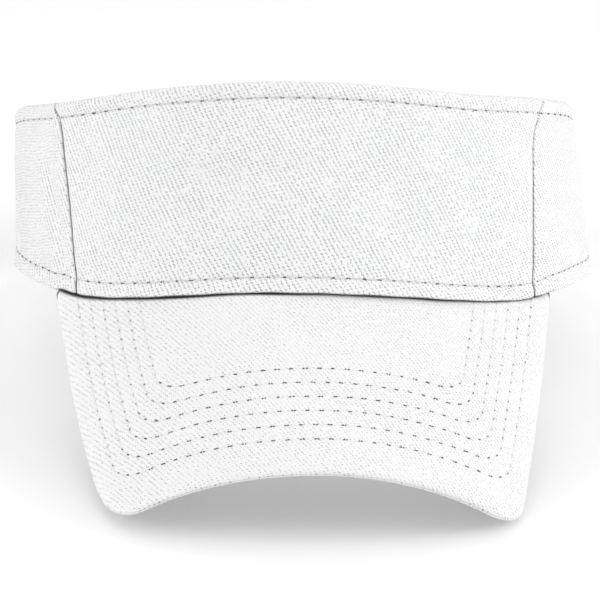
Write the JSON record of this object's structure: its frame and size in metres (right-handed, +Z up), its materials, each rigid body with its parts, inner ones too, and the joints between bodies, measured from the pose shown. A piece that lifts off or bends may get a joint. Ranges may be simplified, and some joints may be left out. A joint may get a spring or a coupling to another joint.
{
  "type": "sun visor",
  "caption": "Cloth sun visor: open-topped leaning band with a stiff front panel, stitched curved brim, padded sweatband and an adjustable hook-and-loop strap at the back.",
  "frame": {"origin": "centre of the footprint, on the surface that the visor stands on with the brim's front corners and the back of the strap", "axes": "+Z up from that surface, -Y towards the front edge of the brim, +X to the right as seen from the front"},
  "size_m": [0.182, 0.2488, 0.1024],
  "materials": {
    "twill": "white cotton twill",
    "brim_twill": "white cotton twill, drawn tight over the board",
    "lining": "white plain-weave cotton",
    "buckram": "stiff open mesh",
    "interlining": "soft felt",
    "tape": "white cotton tape",
    "terry": "white towelling",
    "foam": "soft open-cell foam, taken as fabric",
    "label": "blank satin ribbon",
    "board": "stiff sheet",
    "loop": "brushed loop pile",
    "hook": "moulded hook tape"
  },
  "bodies": {
    "crown": {"front_panel": "twill", "front_buckram": "buckram", "front_lining": "lining", "side_panel_left": "twill", "side_interlining_left": "interlining", "side_lining_left": "lining", "side_panel_right": "twill", "side_interlining_right": "interlining", "side_lining_right": "lining", "seam_tape_right": "tape", "seam_tape_left": "tape", "sweatband": "terry", "forehead_pad": "foam", "care_label": "label", "brim_top_cover": "brim_twill", "brim_board": "board", "brim_under_cover": "brim_twill", "loop_strap": "twill", "loop_tape": "loop"},
    "strap": {"closure_strap": "twill"},
    "tab": {"strap_tab": "twill", "hook_tape": "hook"}
  },
  "joints": [
    {"name": "size_adjust", "type": "hinge", "parent": "crown", "child": "strap", "pos_m": [0, 0.03208, 0.02138], "axis": [0, 0.2581, 0.9661], "range_deg": [-14, 14]},
    {"name": "tab_peel", "type": "hinge", "parent": "strap", "child": "tab", "pos_m": [-0.00154, 0.12437, 0.02591], "axis": [0, 0, -1], "range_deg": [0, 80]}
  ]
}
